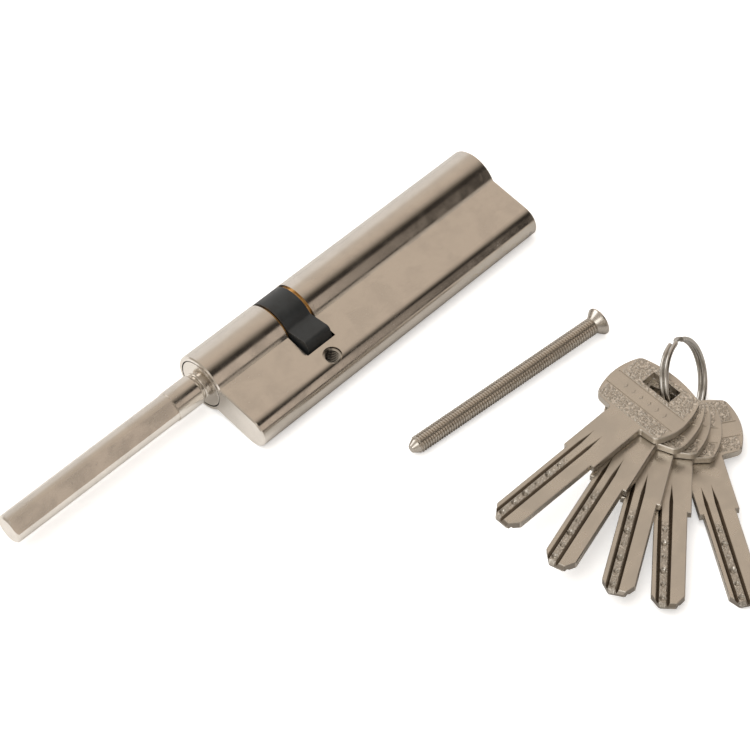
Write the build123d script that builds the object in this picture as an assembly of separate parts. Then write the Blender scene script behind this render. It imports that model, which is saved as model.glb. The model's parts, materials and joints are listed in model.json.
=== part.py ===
from build123d import *
import os
from math import acos, asin, atan2, cos, degrees, radians, sin, sqrt

# Euro profile lock cylinder with a long drive shaft, laid on a table with its fixing screw and its
# bunch of keys. Millimetres and degrees. X runs along the plug axis towards the key side, Z is up
# from the table, and the origin is the centre of the fixing screw's threaded hole.
# Inside the functions the lock is upright in its own frame: plug on the X axis, pin bible
# towards -Y, and lay_down() puts it on the table.

# ---- profile and lengths ----
key_side = 75.0            # fixing hole to the key face
shaft_side = 30.0          # fixing hole to the drive shaft face
barrel_r = 8.5
bible_w = 10.0             # thickness of the pin bible
bible_drop = 19.5          # plug axis to the centre of the bible's round bottom
hole_drop = 18.7           # plug axis to the fixing hole
screw_r = 2.5              # M5
thread_gap = 0.02          # the fixing hole is cut to the outside of its thread
hole_rim = 0.5             # countersink at both ends of the fixing hole
rim_flare = 0.15
face_chamfer = 0.35

# ---- plugs and their retaining rings ----
plug_r = 6.5
plug_gap = 0.04            # running clearance of everything that turns in the barrel
collar_r = 7.0             # collar behind each face
collar_len = 1.0
slot_half = 5.1            # half the width of the cam slot
slot_r = 15.4              # depth of the cam slot from the plug axis
spigot_x = 2.3             # how close the plugs come to the middle of the slot
clip_t = 0.7
clip_r = 7.75
clip_groove_r = 5.7
side_gap = 0.05            # end clearance between stacked pieces

# ---- cam and clutch ----
cam_r = 8.4
cam_half = 4.25
cam_web_half = 2.2
lever_r = 15.0
lever_root_w = 9.0
lever_tip_w = 7.6
lever_round = 1.2
lever_angle = 17.0         # how far the lever stands above the bible's middle plane
clutch_r = 3.9
clutch_tail_x = -12.0
clutch_nose_x = 2.0
dog_r = 5.4
dog_w = 2.8
dog_tail_x = -8.0
clutch_throw = 1.5         # how far a key pushes the clutch
bore_gap = 0.1             # clearance round the clutch
plug_chamfer = 0.1
face_line = 0.25           # open line round the plug and the rotor at their faces
face_line_depth = 0.6
clip_mouth = 2.4           # half the opening of a retaining ring

# ---- pins ----
pin_count = 6
pin_pitch = 4.0
first_pin = 5.5            # key face to the first pin
pin_r = 1.45
chamber_r = 1.5
driver_len = 5.0
chamber_plug_len = 3.0
press_gap = 0.01
pin_spring_r = 1.1
pin_spring_wire = 0.32
pin_spring_turns = 9
clutch_spring_r = 2.1
clutch_spring_wire = 0.45
clutch_spring_turns = 5
clutch_spring_room = 6.0   # depth of its seat in the key plug
clutch_spring_gap = 0.3
drill_pin_r = 1.0
drill_pin_back = 2.8       # key face to the hard steel pins
drill_pin_off = 3.9        # plug axis to each of the plug's hard steel pins
body_drill_pin_r = 0.9
body_drill_pin_top = 1.2   # collar to the body's hard steel pin
key_pin_taper = 0.9
key_pin_air = 0.1
driver_air = 0.06          # shear line to the driver pins
driver_collar = 1.2        # full thickness at each end of a driver pin
driver_waist = 0.3

# ---- drive shaft ----
shaft_r = 4.4
shaft_reach = 66.0         # how far it stands out of its face
shaft_neck = 11.0          # round neck before the flats
shaft_step = 0.2           # the long part is ground a little thinner than the neck
shaft_end_chamfer = 0.5
flat_depth = 0.7
flat_angle = 35.0          # turn of the flats about the shaft
waist_len = 2.2            # slim waist between the shaft and its face
shoulder_round = 0.7       # rounding of the shaft's shoulder at the waist
bead_r = 4.1               # small bead half way along the waist
bead_len = 0.8
bead_land = 0.05           # flat left on top of the bead's round
tail_len = 12.0
tail_step = 1.1            # the waist, and the tail inside the rotor, are thinner than the neck
cross_pin_r = 1.0
cross_pin_short = 0.5      # each end lies below the rotor's surface

# ---- fixing screw ----
screw_len = 66.4           # over all
head_r = 4.0
head_h = 2.7
head_rim = 0.5
point_len = 2.6
point_r = 0.9
recess_w = 1.1
recess_len = 5.0
recess_depth = 1.7
recess_turn = 20.0
head_chamfer = 0.2
screw_tip = (-4.67, -33.94)  # where its point lies on the table
screw_yaw = -6.17

# ---- keys ----
key_t = 2.5
blade_w = 8.4
blade_len = 27.5
tip_cut = 3.0
tip_cut_w = 0.8 * tip_cut   # how far the tip's corners are cut across the blade
tip_bevel = 0.7
tip_bevel_out = 0.1        # the bevel's middle lies this far outside the tip
neck_w = 10.4
neck_len = 17.1
head_len = 16.3            # between the head's corners, along the key
head_w = 20.8              # between the head's corners, across the key
head_bulge = 1.7
inner_bulge = 0.6          # the head's edge towards the blade is nearly straight
side_bulge = 2.1
head_corner_r = 2.2
neck_corner_r = 0.7
rim_chamfer = 0.2
hole_w = 9.4
hole_len = 4.4
hole_edge = 1.2            # head corner line to the hole
dimple_offset = 1.3        # the dimple row lies beside the blade's middle
dimple_floor_r = 0.3
dimple_flare = 0.05
bitting = (0.4, 0.6, 0.3, 0.7, 0.45, 0.55)   # dimple depths from the shoulder to the tip
groove_spacing = 1.35      # dimple row to the groove on each side of it
groove_w = 1.0
groove_depth = 0.8
groove_lead = 3.0          # groove starts this far behind the shoulder, then runs out
groove_runout = 5.5
keyway_gap = 0.3
panel_depth = 0.2
panel_line = 0.35
panel_lines = (4.6, 9.2)   # head corner line nearest the blade to each line across the head

# ---- key ring and how the bunch lies ----
ring_r = 10.8
ring_wire_r = 0.7
wire_sink = 0.03           # the two turns of wire press into each other this much
ring_pos = (55.8, -74.8)
ring_yaw = 22.0
ring_lean = 25.0
ring_lift = 0.3            # bottom of the ring above the table
bunch_tilt = 4.0           # the keys lie on each other, a little higher at the heads
bunch_tilt_yaw = 20.0
key_gap = 0.3
table_gap = 0.04
key_yaws = (177.0, 193.5, 208.5, 219.0, 235.0)      # top key first
# from the ring to the middle of each key's hole, along and across the key
key_shifts = ((-0.2, -1.6), (-0.6, -1.9), (-0.9, -2.0), (-0.6, -1.0), (-0.2, 1.4))

half_bible = bible_w / 2
bible_bottom = bible_drop + half_bible
lay_angle = degrees(asin((barrel_r - half_bible) / bible_drop))
table_z = hole_drop * sin(radians(lay_angle)) - barrel_r
pin_xs = [key_side - first_pin - pin_pitch * i for i in range(pin_count)]


def lay_down(part):
    """From the lock's own frame to the table, barrel and bible bottom both touching it."""
    return Rot(lay_angle, 0, 0) * Pos(0, hole_drop, 0) * part


def rod(x0, x1, r, y=0.0, z=0.0):
    """Round bar along X."""
    return Pos((x0 + x1) / 2, y, z) * Rot(0, 90, 0) * Cylinder(r, abs(x1 - x0))


def post(x, y0, y1, r, z=0.0):
    """Round bar along Y, as the pins are."""
    return Pos(x, (y0 + y1) / 2, z) * Rot(90, 0, 0) * Cylinder(r, abs(y1 - y0))


def block(x0, x1, y0, y1, z0, z1):
    return Pos((x0 + x1) / 2, (y0 + y1) / 2, (z0 + z1) / 2) * Box(x1 - x0, y1 - y0, z1 - z0)


def profile_bar(x0, x1):
    """The euro profile from x0 to x1."""
    outline = Circle(barrel_r)
    outline += Pos(-bible_drop / 2, 0) * Rectangle(bible_drop, bible_w)
    outline += Pos(-bible_drop, 0) * Circle(half_bible)
    return extrude(Plane.YZ.offset(x0) * outline, x1 - x0)


def cylinder_body():
    body = profile_bar(-shaft_side, key_side)
    ends = body.faces().sort_by(Axis.X)
    body = chamfer(ends[0].edges() + ends[-1].edges(), face_chamfer)
    body -= rod(-shaft_side, key_side, plug_r + plug_gap)
    for face, inward in ((-shaft_side, 1), (key_side, -1)):
        body -= rod(face, face + inward * (collar_len + side_gap), collar_r + plug_gap)
        body -= rod(face, face + inward * face_line_depth, collar_r + plug_gap + face_line)
    body -= rod(-slot_half, slot_half, slot_r)
    thread_r = screw_r + thread_gap
    body -= Pos(0, -hole_drop, 0) * Cylinder(thread_r, bible_w)
    rim = Pos(0, 0, half_bible - hole_rim / 2) * Cone(thread_r, thread_r + rim_flare, hole_rim)
    body -= Pos(0, -hole_drop, 0) * rim
    body -= Pos(0, -hole_drop, 0) * Rot(180, 0, 0) * rim
    for x in pin_xs:
        body -= post(x, -plug_r + 0.5, -bible_bottom, chamber_r)
    body -= post(key_side - drill_pin_back, -collar_r - body_drill_pin_top, -bible_bottom,
                 body_drill_pin_r + press_gap)
    return body


def chamber_plug(x):
    """Brass plug pressed into a pin chamber and ground flush with the bible."""
    plug = post(x, -bible_bottom + chamber_plug_len, -bible_bottom, chamber_r - press_gap)
    return plug & profile_bar(x - pin_pitch, x + pin_pitch)


def body_drill_pin():
    x = key_side - drill_pin_back
    pin = post(x, -collar_r - body_drill_pin_top - side_gap, -bible_bottom, body_drill_pin_r)
    return pin & profile_bar(x - pin_pitch / 2, key_side)


def clip_groove(side):
    """Room for a retaining ring on a plug; side is 1 for the key plug, -1 for the drive rotor."""
    x0, x1 = side * (slot_half - side_gap - clip_t - side_gap), side * slot_half
    return rod(x0, x1, plug_r + 1) - rod(x0, x1, clip_groove_r)


def retaining_ring(side):
    x1 = side * (slot_half - side_gap)
    x0 = side * (slot_half - side_gap - clip_t)
    ring = rod(x0, x1, clip_r) - rod(x0, x1, clip_groove_r + side_gap)
    return ring - block(-slot_half, slot_half, -clip_r - 1, 0, -clip_mouth, clip_mouth)


def key_pin_tip(index):
    """How deep the pin reaches towards the key: the floor of its dimple, with a little air."""
    return key_t / 2 - bitting[index] + key_pin_air


def key_plug():
    plug = rod(spigot_x, key_side, plug_r) + rod(key_side - collar_len, key_side, collar_r)
    outer = plug.faces().sort_by(Axis.X)[-1]
    plug = chamfer(outer.edges(), plug_chamfer)
    plug -= clip_groove(1)
    seat_r = clutch_spring_r + clutch_spring_wire + clutch_spring_gap
    plug -= rod(spigot_x, spigot_x + clutch_spring_room, seat_r)
    way_h = key_t / 2 + keyway_gap / 2
    way_w = blade_w / 2 + keyway_gap / 2
    plug -= block(key_side - blade_len - 1.0, key_side, -way_h, way_h,
                  dimple_offset - way_w, dimple_offset + way_w)
    for x in pin_xs:
        plug -= post(x, 0, -plug_r - 1, chamber_r)
    for y in (-drill_pin_off, drill_pin_off):
        plug -= Pos(key_side - drill_pin_back, y, 0) * Cylinder(drill_pin_r + press_gap, 2 * plug_r)
    return plug


def plug_drill_pins():
    half = sqrt(plug_r**2 - (drill_pin_off + drill_pin_r) ** 2) - side_gap
    pin = Pos(key_side - drill_pin_back, drill_pin_off, 0) * Cylinder(drill_pin_r, 2 * half)
    return pin + Pos(0, -2 * drill_pin_off, 0) * pin


def key_pin(index):
    shear = sqrt(plug_r**2 - pin_r**2) - plug_gap / 2
    tip = key_pin_tip(index)
    x = pin_xs[index]
    shank = post(x, -tip - key_pin_taper, -shear, pin_r)
    nose = Rot(90, 0, 0) * Cone(dimple_floor_r, pin_r, key_pin_taper)
    return shank + Pos(x, -tip - key_pin_taper / 2, 0) * nose


def driver_top():
    return plug_r + plug_gap + driver_air


def driver_pin(x):
    top = -driver_top()
    pin = post(x, top, top - driver_len, pin_r)
    waist = post(x, top - driver_collar, top - driver_len + driver_collar, pin_r + 1)
    waist -= post(x, 0, -bible_bottom, pin_r - driver_waist)
    return pin - waist


def coil(length, radius, wire, turns):
    """Spring standing on the XY plane, with its wire wholly between 0 and length."""
    path = Helix(pitch=(length - 2 * wire) / turns, height=length - 2 * wire, radius=radius)
    section = Plane(origin=path @ 0, z_dir=path % 0) * Circle(wire)
    return Pos(0, 0, wire) * sweep(section, path=path, is_frenet=True)


def pin_spring(x):
    start = driver_top() + driver_len + side_gap
    length = bible_bottom - chamber_plug_len - side_gap - start
    return Pos(x, -start, 0) * Rot(90, 0, 0) * coil(length, pin_spring_r, pin_spring_wire / 2,
                                                    pin_spring_turns)


def clutch_spring():
    length = clutch_spring_room + spigot_x - clutch_nose_x - 3 * side_gap
    spring = coil(length, clutch_spring_r, clutch_spring_wire / 2, clutch_spring_turns)
    return Pos(clutch_nose_x + side_gap, 0, 0) * Rot(0, 90, 0) * spring


def dogs(x0, x1, r, w):
    """The clutch's driving bar, or the slot for it."""
    return rod(x0, x1, r) & block(x0, x1, -w / 2, w / 2, -r, r)


def clutch():
    part = rod(clutch_tail_x, clutch_nose_x, clutch_r)
    return part + dogs(dog_tail_x, clutch_nose_x, dog_r, dog_w)


def drive_rotor():
    rotor = rod(-shaft_side, -spigot_x, plug_r) + rod(-shaft_side, -shaft_side + collar_len, collar_r)
    outer = rotor.faces().sort_by(Axis.X)[0]
    rotor = chamfer(outer.edges(), plug_chamfer)
    rotor -= clip_groove(-1)
    rotor -= rod(clutch_tail_x - clutch_throw - side_gap, -spigot_x, clutch_r + bore_gap)
    slot = dogs(dog_tail_x - clutch_throw - side_gap, -spigot_x, dog_r + bore_gap, dog_w + 2 * bore_gap)
    rotor -= Rot(-lever_angle, 0, 0) * slot
    rotor -= rod(-shaft_side, -shaft_side + tail_len + side_gap, shaft_r - tail_step + plug_gap)
    rotor -= Pos(-shaft_side + tail_len / 2, 0, 0) * Cylinder(cross_pin_r + press_gap, 2 * plug_r)
    return rotor


def cross_pin():
    return Pos(-shaft_side + tail_len / 2, 0, 0) * Cylinder(cross_pin_r, 2 * (plug_r - cross_pin_short))


def drive_shaft():
    tip = -shaft_side - shaft_reach
    root = -shaft_side - side_gap
    shaft = rod(tip, root - shaft_neck, shaft_r - shaft_step)
    shaft = chamfer(shaft.faces().sort_by(Axis.X)[0].edges(), shaft_end_chamfer)
    neck = rod(root - shaft_neck, root - waist_len, shaft_r)
    shaft += fillet(neck.faces().sort_by(Axis.X)[-1].edges(), shoulder_round)
    for side in (0, 180):
        flat = block(tip, root - shaft_neck, -shaft_r, shaft_r, shaft_r - flat_depth, shaft_r + 1)
        shaft -= Rot(flat_angle + side, 0, 0) * flat
    shaft += rod(root - waist_len, -shaft_side + tail_len, shaft_r - tail_step)
    middle = root - waist_len / 2
    bead = rod(middle - bead_len / 2, middle + bead_len / 2, bead_r)
    shaft += fillet(bead.edges().filter_by(GeomType.CIRCLE), bead_len / 2 - bead_land)
    shaft -= Pos(-shaft_side + tail_len / 2, 0, 0) * Cylinder(cross_pin_r + press_gap, 2 * plug_r)
    return shaft


def cam():
    """Driven ring of the lock with its lever, black sintered steel."""
    ring = Circle(cam_r)
    lever = Polygon((0, lever_root_w / 2), (-slot_r - 1, lever_tip_w / 2),
                    (-slot_r - 1, -lever_tip_w / 2), (0, -lever_root_w / 2), align=None)
    shape = ring + (Circle(lever_r) & lever)
    corners = [v for v in shape.vertices() if abs(v.X**2 + v.Y**2 - lever_r**2) < 0.1]
    shape = fillet(corners, lever_round)
    roots = [v for v in shape.vertices() if abs(v.X**2 + v.Y**2 - cam_r**2) < 0.05 and v.X < -1]
    shape = fillet(roots, lever_round)
    part = extrude(Plane.YZ.offset(-cam_half) * shape, 2 * cam_half)
    for side in (-1, 1):
        part -= rod(side * cam_web_half, side * (cam_half + 1), plug_r + bore_gap)
    part -= rod(-cam_half, cam_half, clutch_r + bore_gap)
    part -= dogs(-cam_half, cam_half, dog_r + bore_gap, dog_w + 2 * bore_gap)
    return Rot(-lever_angle, 0, 0) * part


def fixing_screw():
    """Countersunk M5 screw along X, its point at the origin."""
    screw = rod(point_len, screw_len - head_h, screw_r)
    screw += Pos(point_len / 2, 0, 0) * Rot(0, 90, 0) * Cone(point_r, screw_r, point_len)
    cone_h = head_h - head_rim
    cone = Pos(screw_len - head_h + cone_h / 2, 0, 0) * Rot(0, 90, 0) * Cone(screw_r, head_r, cone_h)
    screw += cone + rod(screw_len - head_rim, screw_len, head_r)
    face = screw.faces().sort_by(Axis.X)[-1]
    screw = chamfer(face.edges(), head_chamfer)
    bar = block(screw_len - recess_depth, screw_len, -recess_len / 2, recess_len / 2,
                -recess_w / 2, recess_w / 2)
    for turn in (recess_turn, recess_turn + 90):
        screw -= Rot(turn, 0, 0) * bar
    return screw


def lay_screw(part):
    """The screw rests on its head's rim and on the start of its thread."""
    run = screw_len - head_rim - point_len
    rise = degrees(asin((head_r - screw_r) / run))
    height = table_z + screw_r / cos(radians(rise)) - point_len * sin(radians(rise)) + table_gap
    return Pos(screw_tip[0], screw_tip[1], height) * Rot(0, 0, screw_yaw) * Rot(0, -rise, 0) * part


def key_outline():
    """Key seen from above: shoulder at x = 0, tip towards +x, bow towards -x."""
    b, n = blade_w / 2, neck_w / 2
    blade = Polygon((0, -b), (blade_len - tip_cut, -b), (blade_len, -b + tip_cut_w),
                    (blade_len, b - tip_cut_w), (blade_len - tip_cut, b), (0, b), align=None)
    neck = Pos(-neck_len / 2, 0) * Rectangle(neck_len, neck_w)
    x0, x1, h = -neck_len - head_len, -neck_len, head_w / 2
    rim = ThreePointArc((x0, -h), (x0 - head_bulge, 0), (x0, h))
    rim += ThreePointArc((x0, h), ((x0 + x1) / 2, h + side_bulge), (x1, h))
    rim += ThreePointArc((x1, h), (x1 + inner_bulge, 0), (x1, -h))
    rim += ThreePointArc((x1, -h), ((x0 + x1) / 2, -h - side_bulge), (x0, -h))
    bow = make_face(rim)
    bow = fillet(bow.vertices(), head_corner_r)
    shape = blade + neck + bow
    roots = [v for v in shape.vertices() if abs(abs(v.Y) - n) < 0.01 and v.X < -neck_len / 2]
    return fillet(roots, neck_corner_r)


def groove(y):
    """V groove along the blade on its upper face, with a pointed run-out in the neck."""
    top = key_t / 2
    section = Polygon((-groove_w / 2, 0.01), (0, -groove_depth), (groove_w / 2, 0.01), align=None)
    straight = extrude(Plane.YZ.offset(-groove_lead) * section, blade_len + groove_lead + 1)
    rise = degrees(atan2(groove_depth, groove_runout))
    tall = Polygon((-groove_w, groove_depth), (0, -groove_depth), (groove_w, groove_depth), align=None)
    slope = Pos(0, 0, groove_depth) * extrude(Plane.YZ * tall, -2 * groove_runout)
    slope = Pos(-groove_lead, 0, -groove_depth) * Rot(0, rise, 0) * slope
    return Pos(0, y, top) * (straight + slope)


def dimple(index):
    depth = bitting[index]
    x = first_pin + pin_pitch * index
    cone = Cone(dimple_floor_r, dimple_floor_r + depth + dimple_flare, depth + dimple_flare)
    return Pos(x, 0, key_t / 2 - depth / 2 + dimple_flare / 2) * cone


def face_cuts():
    """What is milled in one face of the key."""
    row = -dimple_offset
    cuts = [groove(row - groove_spacing), groove(row + groove_spacing)]
    cuts += [Pos(0, row, 0) * dimple(i) for i in range(pin_count)]
    for across in panel_lines:
        x = -neck_len - across
        cuts.append(Pos(x, 0, key_t / 2) * Box(panel_line, head_w + side_bulge, 2 * panel_depth))
    return cuts


def key():
    part = extrude(Plane.XY.offset(-key_t / 2) * key_outline(), key_t)
    rims = part.faces().filter_by(Axis.Z)
    part = chamfer(rims.edges(), rim_chamfer)
    part -= Pos(hole_x, 0, 0) * Box(hole_len, hole_w, key_t)
    wedge = Rot(0, 45, 0) * Box(2 * tip_bevel, blade_w + 1, 2 * tip_bevel)
    wedge = Pos(blade_len + tip_bevel_out, 0, key_t / 2 + tip_bevel_out) * wedge
    for side in (0, 180):
        part -= Rot(side, 0, 0) * wedge
        for cut in face_cuts():
            part -= Rot(side, 0, 0) * cut
    return part


def ring_axes():
    yaw, lean = radians(ring_yaw), radians(ring_lean)
    along = Vector(cos(yaw), sin(yaw), 0)
    back = Vector(-sin(yaw), cos(yaw), 0)
    up = back * sin(lean) + Vector(0, 0, 1) * cos(lean)
    return along, up


def ring_centre():
    lean = radians(ring_lean)
    height = ring_lift + (ring_r + ring_wire_r) * cos(lean) + 2 * ring_wire_r * sin(lean)
    return Vector(ring_pos[0], ring_pos[1], table_z + height)


def ring_point(turn):
    along, up = ring_axes()
    t = radians(turn)
    return ring_centre() + along * (ring_r * cos(t)) + up * (ring_r * sin(t))


def key_ring():
    """Double-wound split ring: two turns of wire side by side."""
    along, up = ring_axes()
    axis = along.cross(up)
    turns = []
    for side in (-1, 1):
        middle = ring_centre() + axis * (side * (ring_wire_r - wire_sink))
        turns.append(Plane(origin=middle, x_dir=along, z_dir=axis) * Torus(ring_r, ring_wire_r))
    return turns[0] + turns[1]


def bunch_frame(yaw):
    return Rot(0, 0, bunch_tilt_yaw) * Rot(0, -bunch_tilt, 0) * Rot(0, 0, yaw - bunch_tilt_yaw)


def place_at(level, index):
    """Hang a key where its middle plane, at this level along the stack's normal, meets the ring."""
    frame = bunch_frame(key_yaws[index])
    normal = Plane(frame).z_dir
    along, up = ring_axes()
    a = ring_r * along.dot(normal)
    b = ring_r * up.dot(normal)
    rest = level - ring_centre().dot(normal)
    turn = degrees(atan2(b, a) + acos(rest / sqrt(a * a + b * b)))
    shift = key_shifts[index]
    return Pos(*ring_point(turn)) * frame * Pos(shift[0] - hole_x, shift[1], 0)


def table_level():
    """Level at which the lowest key's tip just touches the table."""
    last = len(key_yaws) - 1
    normal = Plane(bunch_frame(key_yaws[last])).z_dir
    level = Vector(ring_pos[0], ring_pos[1], table_z + ring_r / 2).dot(normal)
    b = blade_w / 2
    corners = [(blade_len - tip_cut, -b), (blade_len - tip_cut, b), (blade_len, -b + tip_cut_w),
               (blade_len, b - tip_cut_w)]
    for settle in range(4):
        place = place_at(level, last)
        low = min((place * Pos(x, y, -key_t / 2)).position.Z for x, y in corners)
        level += table_z + table_gap - low
    return level


def key_place(index):
    """Each key lies one key's thickness above the next one down."""
    above = len(key_yaws) - 1 - index
    return place_at(bottom_level + above * (key_t + key_gap), index)


hole_x = -neck_len - head_len + hole_edge + hole_len / 2
bottom_level = table_level()
parts = {"cylinder_body": lay_down(cylinder_body()), "key_plug": lay_down(key_plug())}
parts["plug_drill_pins"] = lay_down(plug_drill_pins())
parts["body_drill_pin"] = lay_down(body_drill_pin())
parts["key_side_retaining_ring"] = lay_down(retaining_ring(1))
parts["shaft_side_retaining_ring"] = lay_down(retaining_ring(-1))
for number in range(pin_count):
    name = str(number + 1)
    parts["key_pin_" + name] = lay_down(key_pin(number))
    parts["driver_pin_" + name] = lay_down(driver_pin(pin_xs[number]))
    parts["pin_spring_" + name] = lay_down(pin_spring(pin_xs[number]))
    parts["chamber_plug_" + name] = lay_down(chamber_plug(pin_xs[number]))
parts["drive_rotor"] = lay_down(drive_rotor())
parts["drive_shaft"] = lay_down(drive_shaft())
parts["shaft_cross_pin"] = lay_down(cross_pin())
parts["cam"] = lay_down(cam())
parts["clutch"] = lay_down(Rot(-lever_angle, 0, 0) * clutch())
parts["clutch_spring"] = lay_down(clutch_spring())
parts["fixing_screw"] = lay_screw(fixing_screw())
parts["key_ring"] = key_ring()
for number in range(len(key_yaws)):
    parts["key_" + str(number + 1)] = key_place(number) * key()

os.makedirs("parts", exist_ok=True)
for name, part in parts.items():
    export_step(part, "parts/" + name + ".step")
    print(name, "volume", round(part.volume, 2))
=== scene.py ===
import json
import random
from math import asin, atan2, cos, pi, radians, sin, tau

import bmesh
import bpy
from mathutils import Matrix, Vector


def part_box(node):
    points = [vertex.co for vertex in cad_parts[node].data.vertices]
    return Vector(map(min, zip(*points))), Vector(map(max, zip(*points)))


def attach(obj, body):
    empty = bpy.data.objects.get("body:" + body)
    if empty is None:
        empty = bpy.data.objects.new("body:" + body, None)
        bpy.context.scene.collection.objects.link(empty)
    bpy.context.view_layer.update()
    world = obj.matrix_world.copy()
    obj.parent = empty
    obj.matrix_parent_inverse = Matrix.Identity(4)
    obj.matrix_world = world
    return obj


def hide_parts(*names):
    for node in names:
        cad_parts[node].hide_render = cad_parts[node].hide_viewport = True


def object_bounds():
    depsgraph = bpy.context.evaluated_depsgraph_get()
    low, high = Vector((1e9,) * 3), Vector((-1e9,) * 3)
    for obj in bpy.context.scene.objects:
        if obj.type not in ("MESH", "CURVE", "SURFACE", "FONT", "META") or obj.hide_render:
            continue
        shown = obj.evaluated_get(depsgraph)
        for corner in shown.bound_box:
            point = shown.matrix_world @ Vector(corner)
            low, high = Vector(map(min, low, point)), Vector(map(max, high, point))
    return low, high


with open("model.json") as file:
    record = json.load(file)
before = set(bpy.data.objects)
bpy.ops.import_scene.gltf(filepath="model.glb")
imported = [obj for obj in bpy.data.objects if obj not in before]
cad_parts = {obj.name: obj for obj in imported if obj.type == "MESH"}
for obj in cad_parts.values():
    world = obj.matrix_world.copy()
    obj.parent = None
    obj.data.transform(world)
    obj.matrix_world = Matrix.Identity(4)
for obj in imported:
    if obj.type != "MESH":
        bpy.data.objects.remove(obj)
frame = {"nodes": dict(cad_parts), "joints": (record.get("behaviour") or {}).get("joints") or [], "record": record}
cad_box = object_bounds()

bl_info = {
    "name": "Euro Cylinder Set",
    "version": (1, 0, 0),
    "blender": (4, 5, 0),
    "location": "View3D > Sidebar > Lock Set",
    "description": "Finishes a euro profile lock cylinder, its fixing screw and its bunch of keys",
    "category": "Object",
}

MM = 0.001
SHELF = cad_box[0][2] if cad_box else 0.0     # height of the table under the set


def size(name, description, value, low=0.0):
    """A length in metres, given in millimetres."""
    return bpy.props.FloatProperty(name=name, description=description, default=value * MM,
                                   min=low, unit="LENGTH", precision=5)


def tint(name, description, value):
    """A linear colour."""
    return bpy.props.FloatVectorProperty(name=name, description=description, default=value,
                                         size=3, subtype="COLOR", min=0.0, max=1.0)


def share(name, description, value):
    """A value from 0 to 1."""
    return bpy.props.FloatProperty(name=name, description=description, default=value,
                                   min=0.0, max=1.0, subtype="FACTOR")


# ---------------------------------------------------------------- settings

class LockFinishes(bpy.types.PropertyGroup):
    """Colours and polish of the metals."""
    nickel: tint("Nickel", "Nickel plate of the body, plugs, shaft and screw", (0.76, 0.715, 0.655))
    key_nickel: tint("Key nickel", "Satin nickel of the keys", (0.72, 0.675, 0.61))
    brass: tint("Brass", "Pins and chamber plugs", (0.78, 0.60, 0.26))
    bronze: tint("Bronze", "Retaining rings beside the cam", (0.72, 0.40, 0.14))
    steel: tint("Steel", "Pins, springs and the split ring", (0.62, 0.60, 0.57))
    cam_black: tint("Cam black", "Black finish of the cam", (0.018, 0.020, 0.021))
    body_rough: share("Body roughness", "Polish of the body's nickel", 0.13)
    key_rough: share("Key roughness", "Satin finish of the keys", 0.24)


class ScrewSizes(bpy.types.PropertyGroup):
    """The M5 countersunk fixing screw and the thread in the body."""
    length: size("Length", "Overall length of the screw", 66.4)
    thread_r: size("Thread radius", "Outer radius of the thread", 2.48)
    root_r: size("Root radius", "Radius at the bottom of the thread", 2.05)
    pitch: size("Pitch", "Distance from thread to thread", 0.8)
    head_r: size("Head radius", "Outer radius of the countersunk head", 3.98)
    rest_r: size("Resting shank", "Radius of the shank where it touches the table", 2.5)
    rest_head_r: size("Resting head", "Radius of the head where it touches the table", 4.0)
    rest_gap: size("Resting gap", "Air between the screw and the table", 0.04)
    head_h: size("Head height", "Height of the countersunk head", 2.7)
    rim_h: size("Rim height", "Straight rim of the head", 0.5)
    point_len: size("Point length", "Length of the point", 2.6)
    nose_r: size("Nose radius", "Radius of the little nose on the point", 0.9)
    cross_w: size("Cross width", "Width of the cross recess's arms", 1.1)
    cross_len: size("Cross length", "Length across the cross recess", 5.0)
    cross_depth: size("Cross depth", "Depth of the cross recess", 1.7)
    cross_turn: bpy.props.FloatProperty(name="Cross turn", description="How the recess is turned",
                                        default=radians(20.0), subtype="ANGLE")
    tip: bpy.props.FloatVectorProperty(name="Tip", description="Where the point lies on the table",
                                       default=(-4.67 * MM, -33.94 * MM), size=2,
                                       subtype="TRANSLATION")
    yaw: bpy.props.FloatProperty(name="Yaw", description="How the screw is turned on the table",
                                 default=radians(-6.17), subtype="ANGLE")
    ridge: size("Ridge height", "How far the thread in the fixing hole stands proud", 0.42)
    shell: size("Thread shell", "Thickness of the shell that makes the hole's thread", 0.02)


class RingSizes(bpy.types.PropertyGroup):
    """The split ring."""
    radius: size("Radius", "Ring axis to the middle of the wire", 10.8)
    wire_r: size("Wire radius", "Half the thickness of the wire", 0.66)
    yaw: bpy.props.FloatProperty(name="Yaw", description="How the ring is turned on the table",
                                 default=radians(22.0), subtype="ANGLE")
    lean: bpy.props.FloatProperty(name="Lean", description="How far the ring leans back",
                                  default=radians(25.0), subtype="ANGLE")
    joint_turn: bpy.props.FloatProperty(name="Joint", description="Where the wire crosses over",
                                        default=radians(66.0), subtype="ANGLE")


class KeySizes(bpy.types.PropertyGroup):
    """The pattern pressed into the key heads."""
    blade_len: size("Blade length", "Shoulder to tip", 27.5)
    thickness: size("Thickness", "Thickness of a key", 2.5)
    neck_len: size("Neck length", "Shoulder to the head", 17.1)
    head_len: size("Head length", "Length of the head along the key", 16.3)
    grain_r: size("Grain size", "Radius of the pressed grains", 0.24)
    grain_h: size("Grain height", "How far the grains stand proud", 0.13)
    head_w: size("Head width", "Width of the head", 20.8)
    blade_w: size("Blade width", "Width of the blade", 8.4)
    row_y: size("Dimple row", "How far the dimple row lies from the middle of the blade", 1.3)
    line_near: size("Near line", "Neck end of the head to the first line across it", 4.6)
    line_far: size("Far line", "Neck end of the head to the second line across it", 9.2)


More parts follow.
